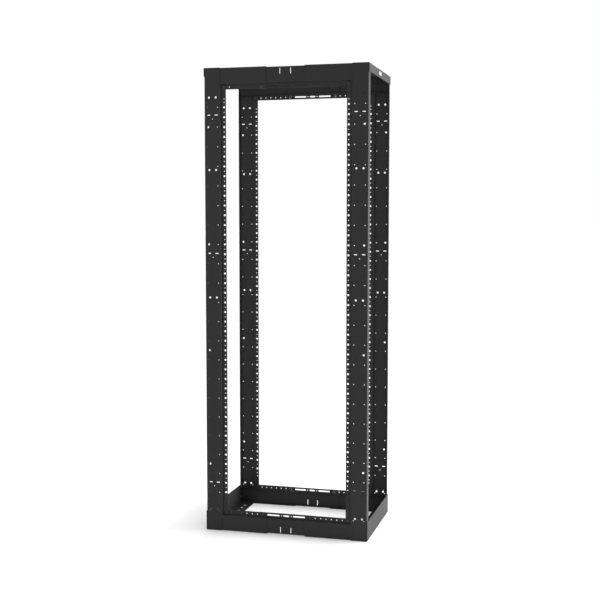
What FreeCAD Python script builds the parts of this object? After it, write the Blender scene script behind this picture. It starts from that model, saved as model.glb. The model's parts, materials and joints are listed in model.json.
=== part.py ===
import FreeCAD, Part
import math
import operator
import os

import Sketcher

# A 42-unit open rack frame: four folded posts, four punched rack rails, and a top and a base
# ring whose front and rear beams slide over centre sleeves, so the frame closes from its
# widest setting to the 19 inch rack width. Millimetres; origin at the middle of the footprint on
# the floor, +Z up, front towards -Y.

os.makedirs("parts", exist_ok=True)
doc = FreeCAD.newDocument("rack_frame")

DIMENSIONS = [
    ("frame_width", 762.0, "across the outsides of the posts"),
    ("frame_depth", 514.1, "front face to rear face"),
    ("frame_height", 2136.8, "floor to top of posts"),
    ("sheet", 2.0, "sheet of posts, rails and beams"),
    ("side_sheet", 3.0, "sheet of side rails and base panels"),
    ("bend", 1.0, "inner radius of every fold"),
    ("post_face", 76.2, "width of a post's wide face"),
    ("front_return", 38.1, "depth of a front post's side return"),
    ("rear_return", 15.9, "depth of a rear post's side return"),
    ("unit_pitch", 44.45, "one rack unit"),
    ("unit_count", 42, "rack units"),
    ("unit_base", 136.7, "height of the lowest unit boundary"),
    ("column_spacing", 580.04, "between the rack hole columns, frame at its widest"),
    ("rail_opening", 562.8, "clear width between the rails"),
    ("rail_depth", 9.9, "rail's face behind the post's face"),
    ("rail_gap", 1.1, "between a beam's step and the rail or fold above it"),
    ("rail_big", 9.4, "hole at each unit boundary"),
    ("rail_small", 4.4, "tapped hole in the middle of each unit"),
    ("rail_end_hole", 6.35, "end hole from the outer unit boundary"),
    ("pair_small", 24.4, "small post holes, off the middle of the face"),
    ("pair_big", 16.15, "large post holes, off the middle of the face"),
    ("pair_slot", 18.15, "post slots, off the middle of the face"),
    ("single_big", 20.6, "single large post hole, off the middle of the face"),
    ("post_small", 4.2, "small post hole"),
    ("post_big", 9.2, "large post hole"),
    ("post_slot_long", 15.4, "post slot, end to end"),
    ("post_slot_wide", 4.0, "post slot, across"),
    ("beam_foot", 1.1, "beam edge back from the post end"),
    ("beam_face", 74.5, "height of a beam's main face"),
    ("beam_strip", 22.4, "height of a beam's stepped strip"),
    ("beam_flange", 17.5, "depth of a beam's outer flange"),
    ("beam_end", 3.0, "beam end from the post's outside"),
    ("strip_end", 79.0, "strip end from the post's outside"),
    ("seam", 89.7, "section edge from the middle of the frame"),
    ("strip_hole", 4.8, "hole in the strips"),
    ("strip_pitch", 25.4, "pitch of the strip holes"),
    ("strip_holes", 6, "holes in one section's strip"),
    ("sleeve_gap", 0.3, "running clearance of a sleeve in its sections"),
    ("sleeve_half", 130.0, "half length of a sleeve"),
    ("clamp_place", 112.6, "sleeve bolt from the middle of the frame"),
    ("slot_wide", 7.1, "width of the sleeve's slots"),
    ("slot_inner", 32.0, "inner end of a long slot"),
    ("slot_outer", 118.0, "outer end of a long slot"),
    ("middle_slot", 28.0, "length of the sleeve's middle slot"),
    ("sleeve_hole_place", 23.2, "small sleeve hole from the middle"),
    ("tie_slot_place", 25.0, "upright sleeve slot from the middle"),
    ("tie_slot_long", 26.0, "upright sleeve slot, end to end"),
    ("tie_slot_wide", 3.2, "upright sleeve slot, across"),
    ("tie_slot_up", 22.5, "upright slot's middle above the sleeve's edge"),
    ("top_rail_height", 38.1, "top side rail, upright leg"),
    ("top_rail_leg", 95.0, "top side rail, flat leg"),
    ("panel_height", 90.0, "base side panel"),
    ("floor_flange", 73.0, "floor flange, inside the post's outer plane"),
    ("leg_front", 40.0, "flat legs start behind the front face"),
    ("leg_rear", 18.6, "flat legs end before the rear face"),
    ("anchor_hole", 19.0, "floor anchor hole"),
    ("anchor_in", 42.0, "anchor hole row, inside the post's outer plane"),
    ("anchor_pitch", 50.8, "pitch of the anchor holes"),
    ("anchor_first", 88.9, "first anchor hole from mid depth"),
    ("anchors_front", 2, "anchor holes in a front corner group"),
    ("anchors_rear", 3, "anchor holes in a rear corner group"),
    ("stud_front", 22.0, "weld studs behind the front face"),
    ("stud_rear", 10.2, "weld studs before the rear face"),
    ("stud_low", 28.0, "lower base studs above the floor"),
    ("stud_high", 84.0, "upper base studs above the floor"),
    ("stud_down", 22.0, "top studs below the post's top"),
    ("thread", 6.0, "bolt and stud diameter"),
    ("thread_hole", 6.6, "clearance hole of a bolt"),
    ("thread_chamfer", 0.6, "chamfer at a bolt's end"),
    ("thread_past", 1.5, "bolt end past its nut"),
    ("stud_long", 12.0, "stud length inside the side sheet"),
    ("head_wide", 13.0, "truss head diameter"),
    ("head_high", 1.8, "truss head height"),
    ("head_rim", 0.5, "upright rim of the head"),
    ("head_shoulder", 10.2, "diameter where the head's dome flattens"),
    ("shoulder_high", 1.45, "height where the head's dome flattens"),
    ("head_crown", 6.5, "diameter of the head's flat crown"),
    ("socket", 4.0, "hexagon socket across flats"),
    ("nut_flats", 10.0, "nut across flats"),
    ("nut_high", 5.0, "nut height"),
    ("nut_bore", 6.2, "nut bore"),
    ("washer_wide", 14.0, "washer diameter"),
    ("washer_thick", 1.6, "washer thickness"),
    ("badge_thick", 0.6, "badge plate and end band"),
    ("badge_long", 62.0, "badge plate"),
    ("badge_high", 16.0, "badge plate"),
    ("badge_front", -38.0, "front edge of the badge plate, along Y"),
    ("band_long", 12.0, "badge end band"),
    ("band_high", 28.0, "badge end band"),
    ("band_gap", 5.0, "between the badge plate and its end band"),
]

# Places down a post's face, in rack units below the highest unit boundary.
SMALL_ROW_LAST = 43
OUTER_ROWS = ((43, 14), (13, 5), (1, 1))
SINGLE_HOLES = (3, 15, 26, 38)
PAIRED_HOLES = (0, 7.36, 20.5, 42.8)
SLOT_PAIRS = (1.78, 15.92, 39.93)
SLOT_HOLE_DROP = 0.41

PAST = 1.0
SMALLEST_CUT = 0.01
SAME_PLACE = 0.01


OPERATORS = {"+": operator.add, "-": operator.sub, "*": operator.mul, "/": operator.truediv}


class Size:
    """A number together with the spreadsheet expression that gives it."""

    def __init__(self, value, text):
        self.value = value
        self.text = text

    def __add__(self, other):
        return joined(self, "+", other)

    def __sub__(self, other):
        return joined(self, "-", other)

    def __mul__(self, other):
        return joined(self, "*", other)

    def __truediv__(self, other):
        return joined(self, "/", other)

    def __neg__(self):
        return Size(-self.value, "(0 - %s)" % self.text)


def as_size(number):
    if isinstance(number, Size):
        return number
    return Size(float(number), "(%s)" % float(number))


def joined(left, sign, right):
    a, b = as_size(left), as_size(right)
    value = OPERATORS[sign](a.value, b.value)
    return Size(value, "(%s %s %s)" % (a.text, sign, b.text))


sheet = doc.addObject("Spreadsheet::Sheet", "dims")
size = {}
for row, (alias, number, note) in enumerate(DIMENSIONS, start=1):
    sheet.set("A%d" % row, alias)
    sheet.set("B%d" % row, str(number))
    sheet.setAlias("B%d" % row, alias)
    sheet.set("C%d" % row, note)
    size[alias] = Size(float(number), "dims.%s" % alias)
doc.recompute()

ZERO = Size(0.0, "(0)")
SHEET = size["sheet"]
HALF_WIDTH = size["frame_width"] / 2
HALF_DEPTH = size["frame_depth"] / 2
HEIGHT = size["frame_height"]
UNIT = size["unit_pitch"]
FACE_MIDDLE = size["post_face"] / 2
BEAM_STEP = size["beam_foot"] + size["beam_face"]
BEAM_TOP = BEAM_STEP + size["beam_strip"]
STRIP_LINE = BEAM_TOP - size["beam_strip"] / 2
RAIL_FOOT = BEAM_STEP + size["rail_gap"]
RAIL_LENGTH = HEIGHT - RAIL_FOOT * 2
COLUMN = HALF_WIDTH - size["column_spacing"] / 2
# Depths behind the posts' faces: the two sides of a rail and of a beam's strip.
RAIL_OUT = size["rail_depth"]
RAIL_IN = RAIL_OUT + SHEET
STRIP_OUT = RAIL_IN
STRIP_IN = STRIP_OUT + SHEET


# ---------------------------------------------------------------- sketches and features

def origin_part(body, role):
    return [part for part in body.Origin.OriginFeatures if part.Role == role][0]


def new_body(label):
    body = doc.addObject("PartDesign::Body", label)
    body.Label = label
    return body


def sketch_on(body, role):
    sketch = body.newObject("Sketcher::SketchObject", "sketch")
    sketch.AttachmentSupport = [(origin_part(body, role), "")]
    sketch.MapMode = "FlatFace"
    return sketch


def pin(sketch, geometry, point, across, up):
    """Bind one point of a sketch to two sizes, measured from the sketch's origin."""
    for kind, place in (("DistanceX", across), ("DistanceY", up)):
        place = as_size(place)
        index = sketch.addConstraint(Sketcher.Constraint(kind, geometry, point, place.value))
        sketch.setExpression("Constraints[%d]" % index, place.text)


def outline(sketch, corners):
    """A closed polygon with every corner bound to its sizes."""
    places = [(as_size(a), as_size(b)) for a, b in corners]
    points = [FreeCAD.Vector(a.value, b.value, 0) for a, b in places]
    first = sketch.GeometryCount
    count = len(points)
    for i in range(count):
        sketch.addGeometry(Part.LineSegment(points[i], points[(i + 1) % count]))
    for i in range(count):
        joint = Sketcher.Constraint("Coincident", first + i, 2, first + (i + 1) % count, 1)
        sketch.addConstraint(joint)
    for i in range(count):
        pin(sketch, first + i, 1, *places[i])


def hole(sketch, across, up, diameter):
    across, up, diameter = as_size(across), as_size(up), as_size(diameter)
    middle = FreeCAD.Vector(across.value, up.value, 0)
    circle = Part.Circle(middle, FreeCAD.Vector(0, 0, 1), diameter.value / 2)
    geometry = sketch.addGeometry(circle)
    pin(sketch, geometry, 3, across, up)
    index = sketch.addConstraint(Sketcher.Constraint("Diameter", geometry, diameter.value))
    sketch.setExpression("Constraints[%d]" % index, diameter.text)


def slot(sketch, across, up, long, wide, upright=False):
    """A round-ended slot, level or upright, bound by its middle, length and width."""
    across, up, radius = as_size(across), as_size(up), as_size(wide) / 2
    reach = as_size(long) / 2 - radius
    quarter = math.pi / 2
    turn = quarter if upright else 0.0
    along = (ZERO, reach) if upright else (reach, ZERO)
    aside = (-radius, ZERO) if upright else (ZERO, radius)
    normal = FreeCAD.Vector(0, 0, 1)
    first = sketch.GeometryCount
    centres = [(across + along[0], up + along[1]), (across - along[0], up - along[1])]
    starts = [turn - quarter, turn + quarter]
    for (a, b), start in zip(centres, starts):
        circle = Part.Circle(FreeCAD.Vector(a.value, b.value, 0), normal, radius.value)
        sketch.addGeometry(Part.ArcOfCircle(circle, start, start + 2 * quarter))
    for sign in (1, -1):
        line_ends = []
        for a, b in centres:
            line_ends.append(FreeCAD.Vector(a.value + sign * aside[0].value,
                                            b.value + sign * aside[1].value, 0))
        sketch.addGeometry(Part.LineSegment(line_ends[0], line_ends[1]))
    near, far, side_one, side_two = first, first + 1, first + 2, first + 3
    for arc, arc_end, line, line_end in ((near, 2, side_one, 1), (far, 1, side_one, 2),
                                         (near, 1, side_two, 1), (far, 2, side_two, 2)):
        sketch.addConstraint(Sketcher.Constraint("Tangent", arc, arc_end, line, line_end))
    pin(sketch, near, 3, *centres[0])
    pin(sketch, far, 3, *centres[1])
    index = sketch.addConstraint(Sketcher.Constraint("Radius", near, radius.value))
    sketch.setExpression("Constraints[%d]" % index, radius.text)


def pad(body, sketch, length, both_ways=False, backwards=False):
    feature = body.newObject("PartDesign::Pad", "pad")
    feature.Profile = sketch
    feature.setExpression("Length", as_size(length).text)
    feature.Midplane = both_ways
    feature.Reversed = backwards
    doc.recompute()
    return feature


def cut(body, sketch):
    """Cut a sketch right through the body; fails if it takes nothing away."""
    before = body.Shape.Volume
    feature = body.newObject("PartDesign::Pocket", "cut")
    feature.Profile = sketch
    feature.Type = 1
    feature.Midplane = True
    doc.recompute()
    if not body.Shape.Volume < before - SMALLEST_CUT:
        raise RuntimeError("a cut in %s took nothing away" % body.Label)
    return feature


def repeat(body, feature, pitch, count):
    """Repeat a cut up the body's Z axis; count is the number of places with the first."""
    length = as_size(pitch) * (as_size(count) - 1)
    before = body.Shape.Volume
    pattern = body.newObject("PartDesign::LinearPattern", "row")
    pattern.Originals = [feature]
    pattern.Direction = (origin_part(body, "Z_Axis"), [""])
    pattern.Length = length.value
    pattern.setExpression("Length", length.text)
    pattern.Occurrences = int(as_size(count).value)
    pattern.setExpression("Occurrences", as_size(count).text)
    body.Tip = pattern
    doc.recompute()
    if not body.Shape.Volume < before - SMALLEST_CUT:
        raise RuntimeError("a row in %s took nothing away" % body.Label)
    return pattern


def round_edge(body, feature, axis, place, radius):
    """Round the edge that runs along one axis, 0 to 2, and crosses the other two at place."""
    others = [number for number in range(3) if number != axis]
    names = []
    for number, edge in enumerate(feature.Shape.Edges, start=1):
        start, end = edge.Vertexes[0].Point, edge.Vertexes[-1].Point
        offsets = [abs(point[other] - spot.value)
                   for point in (start, end) for other, spot in zip(others, place)]
        if max(offsets) < SAME_PLACE and abs(end[axis] - start[axis]) > SAME_PLACE:
            names.append("Edge%d" % number)
    if not names:
        raise RuntimeError("no edge to round in %s" % body.Label)
    fillet = body.newObject("PartDesign::Fillet", "fold")
    fillet.Base = (feature, names)
    fillet.setExpression("Radius", as_size(radius).text)
    doc.recompute()
    return fillet


def place(body, across, depth, level, turns=()):
    """Set a piece down: turned half round about the named axes, then moved."""
    rotation = FreeCAD.Rotation()
    for axis in turns:
        vector = {"y": FreeCAD.Vector(0, 1, 0), "z": FreeCAD.Vector(0, 0, 1)}[axis]
        rotation = FreeCAD.Rotation(vector, 180).multiply(rotation)
    places = [as_size(number) for number in (across, depth, level)]
    base = FreeCAD.Vector(*[number.value for number in places])
    body.Placement = FreeCAD.Placement(base, rotation)
    for name, number in zip("xyz", places):
        body.setExpression("Placement.Base.%s" % name, number.text)


def fold(body, feature, axis, inner, outer, thickness):
    """Round both edges of a fold in a sheet of the given thickness."""
    inside = round_edge(body, feature, axis, inner, size["bend"])
    return round_edge(body, inside, axis, outer, thickness + size["bend"])


# ---------------------------------------------------------------- posts

def post_holes(body, hand):
    """The punched face: pairs in every second unit, large holes and slots between them."""
    top = size["unit_base"] + UNIT * size["unit_count"]
    small, big = size["post_small"], size["post_big"]

    def across(offset):
        return (FACE_MIDDLE + offset) * hand

    def level(units_down):
        return top - UNIT * units_down

    rows = [(size["pair_small"], SMALL_ROW_LAST, (SMALL_ROW_LAST + 1) // 2)]
    rows += [(-size["pair_small"], lowest, count) for lowest, count in OUTER_ROWS]
    for offset, lowest, count in rows:
        row = sketch_on(body, "XZ_Plane")
        hole(row, across(offset), level(lowest), small)
        first = cut(body, row)
        if count > 1:
            repeat(body, first, UNIT * 2, count)
    rest = sketch_on(body, "XZ_Plane")
    for units_down in SINGLE_HOLES:
        hole(rest, across(-size["single_big"]), level(units_down), big)
    for units_down in PAIRED_HOLES:
        for side in (1, -1):
            hole(rest, across(size["pair_big"] * side), level(units_down), big)
    for units_down in SLOT_PAIRS:
        for side in (1, -1):
            slot(rest, across(size["pair_slot"] * side), level(units_down),
                 size["post_slot_long"], size["post_slot_wide"])
        hole(rest, across(ZERO), level(units_down + SLOT_HOLE_DROP), small)
    cut(body, rest)


def post(label, hand, depth, stud_in):
    """A folded channel: wide face in front, side return along the frame's side, and between
    the beams a short return on the inner edge that carries the rail."""
    body = new_body(label)
    profile = sketch_on(body, "XY_Plane")
    face = size["post_face"] * hand
    thick = SHEET * hand
    plain = face - (SHEET + size["bend"]) * hand
    outline(profile, [(ZERO, ZERO), (plain, ZERO), (plain, SHEET), (thick, SHEET),
                      (thick, depth), (ZERO, depth)])
    blank = pad(body, profile, HEIGHT)
    fold(body, blank, 2, (thick, SHEET), (ZERO, ZERO), SHEET)
    for near, reach in ((plain, SHEET), (face - thick, RAIL_OUT - size["bend"])):
        strip = sketch_on(body, "XZ_Plane")
        over = RAIL_FOOT + RAIL_LENGTH
        outline(strip, [(near, RAIL_FOOT), (face, RAIL_FOOT), (face, over), (near, over)])
        blank = pad(body, strip, reach, backwards=True)
    fold(body, blank, 2, (face - thick, SHEET), (face, ZERO), SHEET)
    post_holes(body, hand)
    studs = sketch_on(body, "YZ_Plane")
    for level in (size["stud_low"], size["stud_high"], HEIGHT - size["stud_down"]):
        hole(studs, stud_in, level, size["thread_hole"])
    cut(body, studs)
    return body


# ---------------------------------------------------------------- rack rails

def rail(label, hand):
    """A punched angle behind the post, its leg inside the post's short return: large holes on
    the unit boundaries, tapped holes in the middle of each unit and one more at each end."""
    body = new_body(label)
    profile = sketch_on(body, "XY_Plane")
    near = (size["post_face"] - SHEET * 2) * hand
    inner = (size["post_face"] - SHEET) * hand
    far = (HALF_WIDTH - size["rail_opening"] / 2) * hand
    leg_end = SHEET * 2
    outline(profile, [(near, leg_end), (inner, leg_end), (inner, RAIL_OUT), (far, RAIL_OUT),
                      (far, RAIL_IN), (near, RAIL_IN)])
    blank = pad(body, profile, RAIL_LENGTH)
    fold(body, blank, 2, (inner, RAIL_OUT), (near, RAIL_IN), SHEET)
    base = size["unit_base"] - RAIL_FOOT
    column = COLUMN * hand

    middles = sketch_on(body, "XZ_Plane")
    hole(middles, column, base + UNIT / 2, size["rail_small"])
    repeat(body, cut(body, middles), UNIT, size["unit_count"])

    boundaries = sketch_on(body, "XZ_Plane")
    hole(boundaries, column, base + UNIT, size["rail_big"])
    repeat(body, cut(body, boundaries), UNIT, size["unit_count"] - 1)

    ends = sketch_on(body, "XZ_Plane")
    top = base + UNIT * size["unit_count"]
    for level in (base + size["rail_end_hole"], top - size["rail_end_hole"]):
        hole(ends, column, level, size["rail_small"])
    strip_up = STRIP_LINE - RAIL_FOOT
    for level in (strip_up, RAIL_LENGTH - strip_up):
        hole(ends, column, level, size["thread_hole"])
    cut(body, ends)
    return body


# ---------------------------------------------------------------- beams

def beam_blank(body, inset, length):
    """Flange on the outside, main face behind the posts' faces, and a strip stepped in behind
    the rails; a sleeve's blank is the same shape set in all round."""
    front, strip_out = SHEET + inset, STRIP_OUT + inset
    foot, step = size["beam_foot"] + inset, BEAM_STEP - inset
    back, strip_in, under = front + SHEET, strip_out + SHEET, step - SHEET
    tip = size["beam_flange"]
    profile = sketch_on(body, "YZ_Plane")
    outline(profile, [(front, foot), (tip, foot), (tip, foot + SHEET), (back, foot + SHEET),
                      (back, under), (strip_in, under), (strip_in, BEAM_TOP),
                      (strip_out, BEAM_TOP), (strip_out, step), (front, step)])
    blank = pad(body, profile, length, both_ways=True)
    for inner, outer in (((back, foot + SHEET), (front, foot)),
                         ((back, under), (front, step)),
                         ((strip_out, step), (strip_in, under))):
        blank = fold(body, blank, 0, inner, outer, SHEET)


SECTION_LENGTH = HALF_WIDTH - size["seam"] - size["beam_end"]
SECTION_MIDDLE = size["beam_end"] + SECTION_LENGTH / 2


def section(label, hand):
    """One half of a beam, from behind its post to the seam; its middle is at x = 0."""
    body = new_body(label)
    beam_blank(body, ZERO, SECTION_LENGTH)

    def across(from_outside):
        return (from_outside - SECTION_MIDDLE) * hand

    notch = sketch_on(body, "XZ_Plane")
    outer, inner, over = size["beam_end"] - PAST, size["strip_end"], BEAM_TOP + PAST
    outline(notch, [(across(outer), RAIL_FOOT), (across(inner), RAIL_FOOT),
                    (across(inner), over), (across(outer), over)])
    cut(body, notch)

    row = sketch_on(body, "XZ_Plane")
    first = HALF_WIDTH - size["clamp_place"] - size["strip_pitch"]
    for number in range(int(size["strip_holes"].value)):
        hole(row, across(first - size["strip_pitch"] * number), STRIP_LINE, size["strip_hole"])
    for spot in (COLUMN, HALF_WIDTH - size["clamp_place"]):
        hole(row, across(spot), STRIP_LINE, size["thread_hole"])
    cut(body, row)
    return body


def sleeve(label):
    """The centre piece that both halves of a beam slide over."""
    body = new_body(label)
    beam_blank(body, SHEET + size["sleeve_gap"], size["sleeve_half"] * 2)
    slots = sketch_on(body, "XZ_Plane")
    long = size["slot_outer"] - size["slot_inner"]
    middle = size["slot_inner"] + long / 2
    for side in (1, -1):
        slot(slots, middle * side, STRIP_LINE, long, size["slot_wide"])
        hole(slots, size["sleeve_hole_place"] * side, STRIP_LINE, size["strip_hole"])
        slot(slots, size["tie_slot_place"] * side, size["tie_slot_up"] + size["beam_foot"],
             size["tie_slot_long"], size["tie_slot_wide"], upright=True)
    slot(slots, ZERO, STRIP_LINE, size["middle_slot"], size["slot_wide"])
    cut(body, slots)
    return body


# ---------------------------------------------------------------- side rails and base panels

def studs_on(body, hand, levels):
    """Weld studs on the inside of a side sheet, at the front and at the rear post."""
    studs = sketch_on(body, "YZ_Plane")
    for level in levels:
        for depth in (size["stud_front"], size["frame_depth"] - size["stud_rear"]):
            hole(studs, depth, level, size["thread"])
    feature = body.newObject("PartDesign::Pad", "studs")
    feature.Profile = studs
    feature.Reversed = hand < 0
    feature.setExpression("Length", size["stud_long"].text)
    doc.recompute()


def side_member(label, hand, height, leg, stud_levels):
    """An upright sheet on the outside of two posts with a flat leg turned in at z = 0.
    Local y runs from the front face to the rear face."""
    body = new_body(label)
    thick = size["side_sheet"]
    profile = sketch_on(body, "XZ_Plane")
    outline(profile, [(-thick * hand, ZERO), (leg * hand, ZERO), (leg * hand, thick),
                      (ZERO, thick), (ZERO, height), (-thick * hand, height)])
    blank = pad(body, profile, size["frame_depth"])
    blank.Reversed = True
    doc.recompute()
    fold(body, blank, 1, (ZERO, thick), (-thick * hand, ZERO), thick)
    depth = size["frame_depth"]
    under, over = ZERO - PAST, thick + size["bend"] * 2
    for start, end in ((ZERO - PAST, size["leg_front"]),
                       (depth - size["leg_rear"], depth + PAST)):
        corner = sketch_on(body, "YZ_Plane")
        outline(corner, [(start, under), (end, under), (end, over), (start, over)])
        feature = body.newObject("PartDesign::Pocket", "corner")
        feature.Profile = corner
        feature.setExpression("Length", (leg + PAST).text)
        feature.Reversed = hand > 0
        doc.recompute()
    studs_on(body, hand, stud_levels)
    return body


def anchor_holes(body, hand):
    """A row of floor anchor holes towards each end of a base panel's floor flange."""
    anchors = sketch_on(body, "XY_Plane")
    for way, count in ((-1, size["anchors_front"]), (1, size["anchors_rear"])):
        for number in range(int(count.value)):
            reach = size["anchor_first"] + size["anchor_pitch"] * number
            hole(anchors, size["anchor_in"] * hand, HALF_DEPTH + reach * way,
                 size["anchor_hole"])
    cut(body, anchors)


# ---------------------------------------------------------------- fasteners

def revolved(label, outline_points):
    """A turned master piece about +Z, kept in the document but not written out."""
    body = new_body(label)
    profile = sketch_on(body, "XZ_Plane")
    outline(profile, outline_points)
    turned = body.newObject("PartDesign::Revolution", "turned")
    turned.Profile = profile
    turned.ReferenceAxis = (profile, ["V_Axis"])
    turned.Angle = 360
    doc.recompute()
    return body


def hexagon(sketch, flats):
    """A centred hexagon with two sides across the sketch's level axis."""
    corner = flats / math.sqrt(3)
    half = flats / 2
    outline(sketch, [(half, corner / 2), (ZERO, corner), (-half, corner / 2),
                     (-half, -corner / 2), (ZERO, -corner), (half, -corner / 2)])


def bolt_master(label, length):
    """Truss head above z = 0, with a hexagon socket, and a shank below it."""
    head, high = size["head_wide"] / 2, size["head_high"]
    shank, chamfer = size["thread"] / 2, size["thread_chamfer"]
    body = revolved(label, [(ZERO, -length), (shank - chamfer, -length),
                            (shank, chamfer - length), (shank, ZERO), (head, ZERO),
                            (head, size["head_rim"]),
                            (size["head_shoulder"] / 2, size["shoulder_high"]),
                            (size["head_crown"] / 2, high), (ZERO, high)])
    socket = sketch_on(body, "XY_Plane")
    hexagon(socket, size["socket"])
    feature = body.newObject("PartDesign::Pocket", "socket")
    feature.Profile = socket
    feature.setExpression("Length", (high + PAST).text)
    feature.Reversed = True
    doc.recompute()
    return body


def nut_master(label):
    """A hexagon nut standing on z = 0."""
    body = new_body(label)
    profile = sketch_on(body, "XY_Plane")
    hexagon(profile, size["nut_flats"])
    hole(profile, ZERO, ZERO, size["nut_bore"])
    pad(body, profile, size["nut_high"])
    return body


def washer_master(label):
    body = new_body(label)
    profile = sketch_on(body, "XY_Plane")
    hole(profile, ZERO, ZERO, size["washer_wide"])
    hole(profile, ZERO, ZERO, size["thread_hole"])
    pad(body, profile, size["washer_thick"])
    return body


def group(label, master, spots):
    """Copies of one fastener as separate solids; a spot is (point, direction of its +Z)."""
    shapes = []
    for point, direction in spots:
        numbers = [as_size(number).value for number in point]
        turn = FreeCAD.Rotation(FreeCAD.Vector(0, 0, 1), FreeCAD.Vector(*direction))
        copy = master.Shape.copy()
        copy.Placement = FreeCAD.Placement(FreeCAD.Vector(*numbers), turn)
        shapes.append(copy)
    piece = doc.addObject("Part::Feature", label)
    piece.Label = label
    piece.Shape = Part.Compound(shapes)
    piece.Placement = FreeCAD.Placement()
    return piece


# ---------------------------------------------------------------- the frame

SIDES = (("left", -1), ("right", 1))
ENDS = (("front", -1), ("rear", 1))
pieces = []


def add(piece):
    pieces.append(piece)
    return piece


for end, way in ENDS:
    half_turn = ("z",) if way > 0 else ()
    back = size["front_return"] if way < 0 else size["rear_return"]
    stud_in = size["stud_front"] if way < 0 else size["stud_rear"]
    for side, sign in SIDES:
        hand = sign * way
        corner = (HALF_WIDTH * sign, HALF_DEPTH * way)
        upright = add(post("%s_%s_post" % (end, side), hand, back, stud_in))
        place(upright, corner[0], corner[1], ZERO, half_turn)
        strip = add(rail("%s_%s_rail" % (end, side), hand))
        place(strip, corner[0], corner[1], RAIL_FOOT, half_turn)
        middle = (HALF_WIDTH - SECTION_MIDDLE) * sign
        low = add(section("base_%s_%s_section" % (end, side), hand))
        place(low, middle, corner[1], ZERO, half_turn)
        high = add(section("top_%s_%s_section" % (end, side), -hand))
        place(high, middle, corner[1], HEIGHT, ("y",) + half_turn)
    low_sleeve = add(sleeve("base_%s_sleeve" % end))
    place(low_sleeve, ZERO, HALF_DEPTH * way, ZERO, half_turn)
    high_sleeve = add(sleeve("top_%s_sleeve" % end))
    place(high_sleeve, ZERO, HALF_DEPTH * way, HEIGHT, ("y",) + half_turn)

for side, sign in SIDES:
    panel = add(side_member("base_%s_panel" % side, -sign, size["panel_height"],
                            size["floor_flange"], (size["stud_low"], size["stud_high"])))
    anchor_holes(panel, -sign)
    place(panel, HALF_WIDTH * sign, -HALF_DEPTH, ZERO)
    top_rail = add(side_member("top_%s_rail" % side, sign, size["top_rail_height"],
                               size["top_rail_leg"], (size["stud_down"],)))
    place(top_rail, HALF_WIDTH * sign, -HALF_DEPTH, HEIGHT, ("y",))

# Depths behind the posts' faces: the washer behind the sleeve and the nut on it.
WASHER_SEAT = STRIP_IN + SHEET + size["sleeve_gap"] * 2
NUT_SEAT = WASHER_SEAT + size["washer_thick"]
NUT_END = size["nut_high"] + size["thread_past"]
clamp_bolt = bolt_master("clamp_bolt_master", NUT_SEAT - STRIP_OUT + NUT_END)
corner_bolt = bolt_master("corner_bolt_master", STRIP_IN - RAIL_OUT + NUT_END)
nut = nut_master("nut_master")
washer = washer_master("washer_master")


def fastener_spots(sign, from_middle, depth_in, outward):
    """One spot in each of the four beam strips of one side."""
    spots = []
    for end, way in ENDS:
        depth = (HALF_DEPTH - depth_in) * way
        direction = (0, way if outward else -way, 0)
        for level in (STRIP_LINE, HEIGHT - STRIP_LINE):
            spots.append(((from_middle * sign, depth, level), direction))
    return spots


def stud_spots(sign):
    """One spot on each weld stud of one side, on the inside of the post's return."""
    spots = []
    depths = (size["stud_front"] - HALF_DEPTH, HALF_DEPTH - size["stud_rear"])
    levels = (size["stud_low"], size["stud_high"], HEIGHT - size["stud_down"])
    for depth in depths:
        for level in levels:
            spots.append((((HALF_WIDTH - SHEET) * sign, depth, level), (-sign, 0, 0)))
    return spots


CLAMP = size["clamp_place"]
COLUMN_OUT = size["column_spacing"] / 2
for side, sign in SIDES:
    for kind, master, out, depth_in, outward in (
            ("clamp_bolts", clamp_bolt, CLAMP, STRIP_OUT, True),
            ("clamp_washers", washer, CLAMP, WASHER_SEAT, False),
            ("clamp_nuts", nut, CLAMP, NUT_SEAT, False),
            ("corner_bolts", corner_bolt, COLUMN_OUT, RAIL_OUT, True),
            ("corner_nuts", nut, COLUMN_OUT, STRIP_IN, False)):
        spots = fastener_spots(sign, out, depth_in, outward)
        add(group("%s_%s" % (side, kind), master, spots))
    add(group("%s_side_nuts" % side, nut, stud_spots(sign)))


def badge_piece(label, long, high, front):
    """A thin blank plate on the outside of the right top side rail."""
    plate = doc.addObject("Part::Box", label)
    plate.Label = label
    plate.setExpression("Length", size["badge_thick"].text)
    plate.setExpression("Width", long.text)
    plate.setExpression("Height", high.text)
    doc.recompute()
    level = HEIGHT - (size["top_rail_height"] + high) / 2
    place(plate, HALF_WIDTH + size["side_sheet"], front, level)
    return plate


add(badge_piece("badge_plate", size["badge_long"], size["badge_high"], size["badge_front"]))
add(badge_piece("badge_band", size["band_long"], size["band_high"],
                size["badge_front"] - size["band_long"] - size["band_gap"]))

# ---------------------------------------------------------------- checks and export

doc.recompute()
for item in doc.Objects:
    if "Invalid" in item.State or "Error" in item.State:
        raise RuntimeError("%s failed: %s" % (item.Label, item.State))
for piece in pieces:
    shape = piece.Shape
    if shape.isNull() or not shape.isValid() or not shape.Solids:
        raise RuntimeError("%s has no valid solid" % piece.Label)
    shape.exportStep("parts/%s.step" % piece.Label)
    box = shape.BoundBox
    print("%-28s %2d solids %10.0f mm3  x %8.2f %8.2f  y %8.2f %8.2f  z %8.2f %8.2f" % (
        piece.Label, len(shape.Solids), shape.Volume, box.XMin, box.XMax, box.YMin, box.YMax,
        box.ZMin, box.ZMax))
print(len(pieces), "pieces")
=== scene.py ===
import json
import math

import bmesh
import bpy
from mathutils import Matrix, Vector


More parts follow.
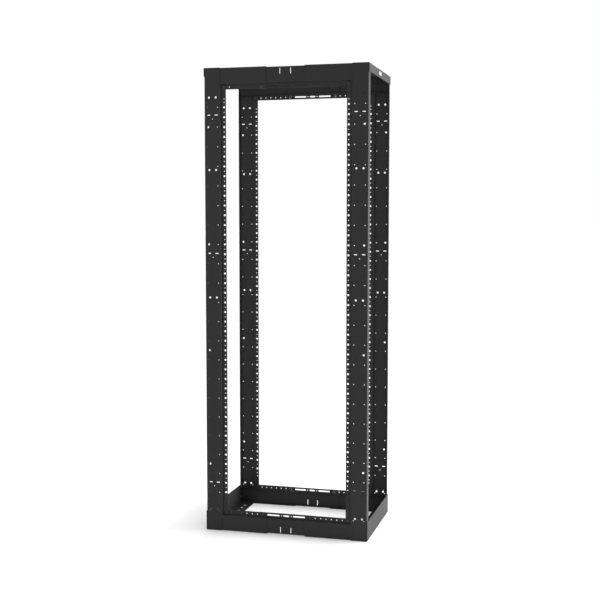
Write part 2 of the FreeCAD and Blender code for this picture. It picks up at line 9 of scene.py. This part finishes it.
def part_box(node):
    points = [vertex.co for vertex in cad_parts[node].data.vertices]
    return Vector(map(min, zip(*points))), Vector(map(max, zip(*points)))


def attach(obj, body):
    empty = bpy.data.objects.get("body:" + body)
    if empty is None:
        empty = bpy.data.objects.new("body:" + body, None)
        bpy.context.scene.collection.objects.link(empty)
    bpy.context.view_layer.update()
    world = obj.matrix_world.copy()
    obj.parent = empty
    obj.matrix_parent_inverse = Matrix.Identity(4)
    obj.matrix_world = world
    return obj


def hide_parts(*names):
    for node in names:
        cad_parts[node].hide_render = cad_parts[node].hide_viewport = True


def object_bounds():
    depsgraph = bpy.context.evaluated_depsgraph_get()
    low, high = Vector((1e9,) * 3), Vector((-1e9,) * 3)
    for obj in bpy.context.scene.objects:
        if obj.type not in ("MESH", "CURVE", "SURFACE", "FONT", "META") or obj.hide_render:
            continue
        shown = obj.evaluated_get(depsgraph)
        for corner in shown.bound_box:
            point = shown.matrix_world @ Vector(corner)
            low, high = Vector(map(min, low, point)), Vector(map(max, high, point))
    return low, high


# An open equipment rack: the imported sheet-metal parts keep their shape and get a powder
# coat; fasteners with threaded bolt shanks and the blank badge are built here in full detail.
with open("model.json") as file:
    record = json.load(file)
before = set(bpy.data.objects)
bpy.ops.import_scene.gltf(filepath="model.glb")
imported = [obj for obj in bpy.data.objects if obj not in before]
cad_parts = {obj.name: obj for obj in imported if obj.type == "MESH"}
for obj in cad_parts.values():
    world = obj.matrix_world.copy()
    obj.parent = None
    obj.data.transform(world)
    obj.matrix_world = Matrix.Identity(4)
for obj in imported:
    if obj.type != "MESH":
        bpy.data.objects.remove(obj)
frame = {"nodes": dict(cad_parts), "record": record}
CAD_LOW, CAD_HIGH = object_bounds()

MM = 0.001
SIDES = (("left", -1), ("right", 1))

# Bolts, nuts and washers, in metres.
HEAD_RADIUS = 6.5 * MM
HEAD_HIGH = 1.8 * MM
SOCKET_FLATS = 4.0 * MM
SOCKET_DEEP = 1.5 * MM
SHANK_RADIUS = 3.0 * MM
THREAD_PITCH = 1.0 * MM
THREAD_DEEP = 0.45 * MM
NUT_FLATS = 10.0 * MM
NUT_BORE = 3.1 * MM
NUT_ROUND = 72
WASHER_BORE = 3.3 * MM
ROUND = 48

# Soft studio light: the way to its bright side, and its strength there and opposite.
BRIGHT_WAY = (0.8, 0.6, 0.0)
BRIGHT_WORLD = 1.75
DIM_WORLD = 0.2
FLOOR_GLOW = 0.16


# ---------------------------------------------------------------- meshes

def shift_points(points, matrix):
    return [matrix @ Vector(point) for point in points]


class Build:
    """Collects vertices and faces of several shapes into one mesh."""

    def __init__(self):
        self.points = []
        self.faces = []

    def add(self, points, faces, matrix=Matrix.Identity(4)):
        start = len(self.points)
        self.points.extend(shift_points(points, matrix))
        self.faces.extend([tuple(start + corner for corner in face) for face in faces])

    def rings(self, rings, matrix=Matrix.Identity(4), first_cap=False, last_cap=False):
        """Joins closed rings of equal length with quads, and caps the ends if asked."""
        count = len(rings[0])
        points = [point for ring in rings for point in ring]
        faces = []
        for row in range(len(rings) - 1):
            for i in range(count):
                j = (i + 1) % count
                low, high = row * count, (row + 1) * count
                faces.append((low + i, low + j, high + j, high + i))
        if first_cap:
            faces.append(tuple(reversed(range(count))))
        if last_cap:
            last = (len(rings) - 1) * count
            faces.append(tuple(range(last, last + count)))
        self.add(points, faces, matrix)

    def done(self, name, smooth_angle=math.radians(35)):
        mesh = bpy.data.meshes.new(name)
        mesh.from_pydata(self.points, [], self.faces)
        mesh.validate()
        mesh.update()
        work = bmesh.new()
        work.from_mesh(mesh)
        bmesh.ops.recalc_face_normals(work, faces=work.faces)
        work.to_mesh(mesh)
        work.free()
        for face in mesh.polygons:
            face.use_smooth = True
        mesh.set_sharp_from_angle(angle=smooth_angle)
        piece = bpy.data.objects.new(name, mesh)
        bpy.context.scene.collection.objects.link(piece)
        return piece


def ring(radius, height, count=ROUND):
    """radius is a number or a function of the angle; so is height."""
    points = []
    for i in range(count):
        angle = 2 * math.pi * i / count
        out = radius(angle) if callable(radius) else radius
        up = height(angle) if callable(height) else height
        points.append((out * math.cos(angle), out * math.sin(angle), up))
    return points


def hexagon(flats):
    """Radius of a hexagon's edge as a function of the angle."""
    def radius(angle):
        sixth = math.pi / 3
        return flats / 2 / math.cos((angle + sixth / 2) % sixth - sixth / 2)
    return radius


def thread_rings(radius, deep, low, high, rows_per_turn=8):
    """A screw thread's surface between two heights."""
    rows = max(2, int(round((high - low) / THREAD_PITCH * rows_per_turn)))
    made = []
    for row in range(rows + 1):
        level = low + (high - low) * row / rows
        fade = min(1.0, (level - low) / THREAD_PITCH, (high - level) / THREAD_PITCH)

        def out(angle, level=level, fade=fade):
            phase = (level / THREAD_PITCH - angle / (2 * math.pi)) % 1.0
            return radius - deep * fade * abs(2 * phase - 1)
        made.append(ring(out, level))
    return made


def add_bolt(build, length, matrix):
    """Truss head on z = 0 with a hexagon socket; threaded shank going down."""
    hexa = hexagon(SOCKET_FLATS)
    floor = HEAD_HIGH - SOCKET_DEEP
    inside = [ring(lambda a: hexa(a) * 0.25, floor - 0.15 * MM), ring(hexa, floor),
              ring(hexa, HEAD_HIGH - 0.25 * MM),
              ring(lambda a: hexa(a) + 0.25 * MM, HEAD_HIGH)]
    dome = []
    crown = SOCKET_FLATS * 0.5 + 1.0 * MM
    for step in range(9):
        turn = math.pi / 2 * step / 8
        out = crown + (HEAD_RADIUS - crown) * math.sin(turn)
        dome.append(ring(out, 0.45 * MM + (HEAD_HIGH - 0.45 * MM) * math.cos(turn)))
    under = [ring(HEAD_RADIUS, 0.15 * MM), ring(HEAD_RADIUS - 0.15 * MM, 0.0),
             ring(SHANK_RADIUS, 0.0)]
    shank = thread_rings(SHANK_RADIUS, THREAD_DEEP, -length + 0.5 * MM, -0.6 * MM)
    tip = [ring(SHANK_RADIUS - 0.5 * MM, -length)]
    build.rings(inside + dome + under + shank[::-1] + tip, matrix, True, True)


def add_nut(build, high, matrix):
    """Hexagon nut on z = 0 with both faces chamfered by a cone."""
    hexa = hexagon(NUT_FLATS)
    rim = NUT_FLATS / 2 * 0.96

    def drop(angle):
        return (hexa(angle) - rim) * math.tan(math.radians(30))
    rows = [ring(NUT_BORE, 0.4 * MM, NUT_ROUND), ring(NUT_BORE + 0.4 * MM, 0.0, NUT_ROUND),
            ring(rim, 0.0, NUT_ROUND), ring(hexa, drop, NUT_ROUND),
            ring(hexa, lambda a: high - drop(a), NUT_ROUND), ring(rim, high, NUT_ROUND),
            ring(NUT_BORE + 0.4 * MM, high, NUT_ROUND), ring(NUT_BORE, high - 0.4 * MM, NUT_ROUND)]
    build.rings(rows + rows[:1], matrix)


def add_washer(build, radius, thick, matrix):
    edge = 0.25 * MM
    rows = [ring(WASHER_BORE, edge), ring(WASHER_BORE + edge, 0.0), ring(radius - edge, 0.0),
            ring(radius, edge), ring(radius, thick - edge), ring(radius - edge, thick),
            ring(WASHER_BORE + edge, thick), ring(WASHER_BORE, thick - edge)]
    build.rings(rows + rows[:1], matrix)


def clusters(node, reach=0.02):
    """Boxes of the separate solids in a CAD node, as (low, high) pairs."""
    groups = []
    for vertex in frame["nodes"][node].data.vertices:
        for group in groups:
            if (vertex.co - group[0]).length < reach:
                group.append(vertex.co.copy())
                break
        else:
            groups.append([vertex.co.copy()])
    boxes = []
    for group in groups:
        boxes.append((Vector(min(p[i] for p in group) for i in range(3)),
                      Vector(max(p[i] for p in group) for i in range(3))))
    return boxes


def facing(point, direction):
    """A matrix that puts local z = 0 at point with local +Z along direction."""
    turn = Vector(direction).to_track_quat("Z", "Y").to_matrix().to_4x4()
    return Matrix.Translation(point) @ turn


def dress(piece, material, body, slot, *replaced):
    piece.data.materials.clear()
    piece.data.materials.append(material)
    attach(piece, body)
    if replaced:
        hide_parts(*replaced)
    return piece


# ---------------------------------------------------------------- materials

class Graph:
    """A material's node tree with short calls for adding and joining nodes."""

    def __init__(self, name):
        self.material = bpy.data.materials.new(name)
        self.material.use_nodes = True
        self.tree = self.material.node_tree
        self.tree.nodes.clear()
        self.out = self.node("OutputMaterial")
        self.surface = self.node("BsdfPrincipled")
        self.join(self.surface.outputs["BSDF"], self.out.inputs["Surface"])
        self.place = self.node("TexCoord").outputs["Object"]

    def node(self, kind, **settings):
        made = self.tree.nodes.new("ShaderNode" + kind)
        for key, value in settings.items():
            setattr(made, key, value)
        return made

    def join(self, source, target):
        self.tree.links.new(source, target)

    def feed(self, target, value):
        if isinstance(value, bpy.types.NodeSocket):
            self.join(value, target)
        else:
            target.default_value = value

    def noise(self, scale, detail=2.0, rough=0.5, stretch=None):
        made = self.node("TexNoise")
        place = self.place
        if stretch:
            mapping = self.node("Mapping")
            self.join(self.place, mapping.inputs["Vector"])
            mapping.inputs["Scale"].default_value = stretch
            place = mapping.outputs["Vector"]
        self.join(place, made.inputs["Vector"])
        made.inputs["Scale"].default_value = scale
        made.inputs["Detail"].default_value = detail
        made.inputs["Roughness"].default_value = rough
        return made.outputs["Fac"]

    def span(self, value, low, high, to_low, to_high):
        made = self.node("MapRange", clamp=True)
        self.feed(made.inputs["Value"], value)
        for key, number in (("From Min", low), ("From Max", high), ("To Min", to_low),
                            ("To Max", to_high)):
            made.inputs[key].default_value = number
        return made.outputs["Result"]

    def math(self, operation, first, second):
        made = self.node("Math", operation=operation)
        self.feed(made.inputs[0], first)
        self.feed(made.inputs[1], second)
        return made.outputs["Value"]

    def mix(self, factor, first, second):
        made = self.node("Mix", data_type="RGBA")
        self.feed(made.inputs["Factor"], factor)
        for name, value in (("A", first), ("B", second)):
            socket = [s for s in made.inputs if s.name == name and s.type == "RGBA"][0]
            self.feed(socket, value)
        return [s for s in made.outputs if s.type == "RGBA"][0]

    def bump(self, height, distance, strength=1.0, normal=None):
        made = self.node("Bump")
        self.join(height, made.inputs["Height"])
        made.inputs["Distance"].default_value = distance
        made.inputs["Strength"].default_value = strength
        if normal:
            self.join(normal, made.inputs["Normal"])
        return made.outputs["Normal"]

    def edges(self, radius):
        """1 on sharp edges and 0 on flat faces, with the rounded normal."""
        bevel = self.node("Bevel", samples=4)
        bevel.inputs["Radius"].default_value = radius
        geometry = self.node("NewGeometry")
        product = self.node("VectorMath", operation="DOT_PRODUCT")
        self.join(bevel.outputs["Normal"], product.inputs[0])
        self.join(geometry.outputs["Normal"], product.inputs[1])
        mask = self.span(product.outputs["Value"], 0.99, 0.8, 0.0, 1.0)
        return mask, bevel.outputs["Normal"]

    def finish(self, **values):
        for key, value in values.items():
            self.feed(self.surface.inputs[key.replace("_", " ")], value)
        return self.material


def grey(value, tint=(1.0, 1.0, 1.0)):
    return tuple(value * part for part in tint) + (1.0,)


def powder_coat(name, shade):
    """Satin black powder coat: fine grain, soft unevenness, slight wear on edges."""
    graph = Graph(name)
    grain = graph.noise(850, 3, 0.6)
    peel = graph.noise(260, 2, 0.5)
    cloud = graph.noise(4.0, 4, 0.55)
    wear, rounded = graph.edges(0.0012)
    speckle = graph.mix(graph.span(grain, 0.38, 0.66, 0, 1), grey(shade * 0.75),
                        grey(shade * 1.45))
    shaded = graph.mix(graph.span(cloud, 0.35, 0.7, 0, 0.35), speckle, grey(shade * 1.7))
    patchy = graph.span(graph.noise(45, 4, 0.65), 0.45, 0.68, 0.15, 1)
    worn = graph.math("MULTIPLY", graph.math("MULTIPLY", wear, patchy), 0.55)
    colour = graph.mix(worn, shaded, grey(0.075))
    rough = graph.math("ADD", graph.span(grain, 0.3, 0.7, 0.50, 0.62),
                       graph.span(cloud, 0.3, 0.7, -0.03, 0.04))
    rough = graph.math("SUBTRACT", rough, graph.math("MULTIPLY", worn, 0.15))
    normal = graph.bump(peel, 0.00012, 0.5, rounded)
    normal = graph.bump(grain, 0.00005, 0.6, normal)
    return graph.finish(Base_Color=colour, Roughness=rough, Normal=normal,
                        Specular_IOR_Level=0.3)


def black_oxide(name):
    """Black oxide of the bolts and of the clamp and corner nuts."""
    graph = Graph(name)
    grain = graph.noise(1500, 2, 0.5)
    wear, rounded = graph.edges(0.0004)
    cloud = graph.noise(180, 3, 0.6)
    base = graph.mix(graph.span(cloud, 0.35, 0.7, 0, 1), grey(0.02), grey(0.05))
    colour = graph.mix(graph.math("MULTIPLY", wear, 0.5), base, grey(0.2))
    rough = graph.span(grain, 0.3, 0.7, 0.16, 0.3)
    normal = graph.bump(grain, 0.00002, 0.4, rounded)
    return graph.finish(Base_Color=colour, Roughness=rough, Normal=normal, Metallic=0.6)


def zinc(name):
    """Zinc plating of the washers and side nuts."""
    graph = Graph(name)
    grain = graph.noise(700, 4, 0.6)
    rounded = graph.edges(0.0003)[1]
    colour = graph.mix(graph.span(grain, 0.3, 0.7, 0, 1), (0.36, 0.36, 0.35, 1),
                       (0.50, 0.50, 0.49, 1))
    rough = graph.span(graph.noise(320, 3, 0.6), 0.3, 0.7, 0.25, 0.42)
    normal = graph.bump(grain, 0.00002, 0.3, rounded)
    return graph.finish(Base_Color=colour, Roughness=rough, Normal=normal, Metallic=1.0)


def brushed_plate(name):
    """Pale brushed plate with its grain along the badge's length."""
    graph = Graph(name)
    lines = graph.noise(900, 3, 0.6, stretch=(1.0, 0.02, 1.0))
    cloud = graph.noise(40, 3, 0.5)
    base = graph.mix(graph.span(lines, 0.3, 0.7, 0, 1), grey(0.34), grey(0.46))
    colour = graph.mix(graph.span(cloud, 0.4, 0.75, 0, 0.3), base, grey(0.3))
    rough = graph.span(lines, 0.3, 0.7, 0.34, 0.5)
    normal = graph.bump(lines, 0.00002, 0.5)
    return graph.finish(Base_Color=colour, Roughness=rough, Normal=normal, Metallic=0.2)


def matte_band(name):
    graph = Graph(name)
    grain = graph.noise(1200, 3, 0.6)
    colour = graph.mix(graph.span(grain, 0.35, 0.68, 0, 1), grey(0.018), grey(0.035))
    rough = graph.span(grain, 0.3, 0.7, 0.55, 0.72)
    normal = graph.bump(grain, 0.00004, 0.5)
    return graph.finish(Base_Color=colour, Roughness=rough, Normal=normal,
                        Specular_IOR_Level=0.35)


def studio_floor(name):
    """Pale floor that emits a little, so that it merges with the white background."""
    graph = Graph(name)
    cloud = graph.noise(1.5, 3, 0.5)
    colour = graph.mix(graph.span(cloud, 0.3, 0.7, 0, 1), grey(0.86), grey(0.88))
    rough = graph.span(graph.noise(60, 3, 0.5), 0.3, 0.7, 0.62, 0.7)
    return graph.finish(Base_Color=colour, Roughness=rough,
                        Emission_Color=(1.0, 1.0, 1.0, 1.0), Emission_Strength=FLOOR_GLOW)


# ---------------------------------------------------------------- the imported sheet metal

COAT = powder_coat("frame_coat", 0.012)
OXIDE = black_oxide("bolt_oxide")
ZINC = zinc("nut_zinc")
PLATE = brushed_plate("badge_plate_brushed")
BAND = matte_band("badge_band_matte")
LOOKS = {"frame_paint": COAT, "black_bolt": OXIDE, "zinc_nut": ZINC, "badge_metal": PLATE,
         "badge_band": BAND}

for subpart in frame["record"]["subparts"]:
    mesh = frame["nodes"][subpart["node"]].data
    mesh.materials.clear()
    mesh.materials.append(LOOKS[subpart["material_slot"]])


# ---------------------------------------------------------------- fasteners

def fasteners(node, kind):
    """Replaces one CAD group of fasteners whose axes run along Y, heads outwards."""
    build = Build()
    for low, high in clusters(node):
        middle = (low + high) / 2
        way = math.copysign(1, middle.y)
        near = low.y if way > 0 else high.y
        far = high.y if way > 0 else low.y
        if kind == "bolt":
            seat = Vector((middle.x, far - way * HEAD_HIGH, middle.z))
            add_bolt(build, abs(far - near) - HEAD_HIGH, facing(seat, (0, way, 0)))
        elif kind == "nut":
            seat = Vector((middle.x, far, middle.z))
            add_nut(build, high.y - low.y, facing(seat, (0, -way, 0)))
        else:
            seat = Vector((middle.x, far, middle.z))
            add_washer(build, (high.x - low.x) / 2, high.y - low.y,
                       facing(seat, (0, -way, 0)))
    return build.done(node + "_detailed")


for side, sign in SIDES:
    body = side + "_half"
    for node, kind, look, slot in (("clamp_bolts", "bolt", OXIDE, "black_bolt"),
                                   ("corner_bolts", "bolt", OXIDE, "black_bolt"),
                                   ("clamp_nuts", "nut", OXIDE, "black_bolt"),
                                   ("corner_nuts", "nut", OXIDE, "black_bolt"),
                                   ("clamp_washers", "washer", ZINC, "zinc_nut")):
        name = side + "_" + node
        dress(fasteners(name, kind), look, body, slot, name)
    side_nuts = Build()
    for low, high in clusters(side + "_side_nuts"):
        middle = (low + high) / 2
        seat = Vector((high.x if sign > 0 else low.x, middle.y, middle.z))
        add_nut(side_nuts, high.x - low.x, facing(seat, (-sign, 0, 0)))
    dress(side_nuts.done(side + "_side_nuts_detailed"), ZINC, body, "zinc_nut",
          side + "_side_nuts")


# ---------------------------------------------------------------- badge

def rounded_plate(node, corner, edge):
    """A plate standing on its side against +X, with round corners and a soft edge."""
    low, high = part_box(node)
    middle = (low + high) / 2
    half_y, half_z = (high.y - low.y) / 2, (high.z - low.z) / 2

    def border(inset, x):
        points = []
        radius = corner - inset
        for quarter, (sy, sz) in enumerate(((1, 1), (-1, 1), (-1, -1), (1, -1))):
            for step in range(9):
                angle = math.pi / 2 * (quarter + step / 8)
                points.append((x, middle.y + sy * (half_y - corner) + radius * math.cos(angle),
                               middle.z + sz * (half_z - corner) + radius * math.sin(angle)))
        return points
    build = Build()
    build.rings([border(0, low.x), border(0, high.x - edge),
                 border(edge * 0.3, high.x - edge * 0.3), border(edge, high.x)],
                first_cap=True, last_cap=True)
    return build.done(node + "_rounded")


dress(rounded_plate("badge_plate", 2.5 * MM, 0.25 * MM), PLATE, "right_half", "badge_metal",
      "badge_plate")
dress(rounded_plate("badge_band", 1.5 * MM, 0.25 * MM), BAND, "right_half", "badge_band",
      "badge_band")


# ---------------------------------------------------------------- floor, light and camera

def make_floor():
    mesh = bpy.data.meshes.new("studio_floor")
    reach = 150.0
    mesh.from_pydata([(-reach, -reach, 0), (reach, -reach, 0), (reach, reach, 0),
                      (-reach, reach, 0)], [], [(0, 1, 2, 3)])
    mesh.materials.append(studio_floor("studio_floor"))
    floor = bpy.data.objects.new("studio_floor", mesh)
    floor.location.z = CAD_LOW.z - 0.0003
    bpy.context.scene.collection.objects.link(floor)


def area_light(name, place, target, size, power):
    data = bpy.data.lights.new(name, "AREA")
    data.shape = "RECTANGLE"
    data.size, data.size_y = size
    data.energy = power
    lamp = bpy.data.objects.new(name, data)
    lamp.location = place
    lamp.rotation_euler = (Vector(target) - Vector(place)).to_track_quat("-Z", "Y").to_euler()
    bpy.context.scene.collection.objects.link(lamp)


def make_world():
    """White to the camera; as light it is brighter from the rear and the right."""
    world = bpy.data.worlds.new("studio")
    world.use_nodes = True
    tree = world.node_tree
    background = tree.nodes["Background"]
    background.inputs["Color"].default_value = (1.0, 1.0, 1.0, 1.0)
    background.inputs["Strength"].default_value = 1.0
    lighting = tree.nodes.new("ShaderNodeBackground")
    lighting.inputs["Color"].default_value = (1.0, 1.0, 1.0, 1.0)
    place = tree.nodes.new("ShaderNodeTexCoord")
    toward = tree.nodes.new("ShaderNodeVectorMath")
    toward.operation = "DOT_PRODUCT"
    toward.inputs[1].default_value = BRIGHT_WAY
    grade = tree.nodes.new("ShaderNodeMapRange")
    for key, number in (("From Min", -1.0), ("From Max", 1.0), ("To Min", DIM_WORLD),
                        ("To Max", BRIGHT_WORLD)):
        grade.inputs[key].default_value = number
    path = tree.nodes.new("ShaderNodeLightPath")
    choose = tree.nodes.new("ShaderNodeMixShader")
    tree.links.new(place.outputs["Generated"], toward.inputs[0])
    tree.links.new(toward.outputs["Value"], grade.inputs["Value"])
    tree.links.new(grade.outputs["Result"], lighting.inputs["Strength"])
    tree.links.new(path.outputs["Is Camera Ray"], choose.inputs["Fac"])
    tree.links.new(lighting.outputs["Background"], choose.inputs[1])
    tree.links.new(background.outputs["Background"], choose.inputs[2])
    tree.links.new(choose.outputs["Shader"], tree.nodes["World Output"].inputs["Surface"])
    bpy.context.scene.world = world


def make_camera():
    data = bpy.data.cameras.new("camera")
    data.sensor_width = 36.0
    data.lens = 65.016
    camera = bpy.data.objects.new("camera", data)
    camera.location = (1.3306, -4.9634, 1.4700)
    camera.rotation_euler = (math.radians(90 - 4.468), 0.0, math.radians(14.997))
    bpy.context.scene.collection.objects.link(camera)
    bpy.context.scene.camera = camera


make_floor()
make_world()
area_light("key", (3.0, 0.8, 1.1), (0.4, 0.3, 0.0), (2.0, 1.6), 120)
area_light("fill", (-2.2, -3.4, 2.4), (0, 0, 0.3), (2.4, 2.0), 20)
make_camera()
bpy.context.scene.view_settings.view_transform = "Standard"
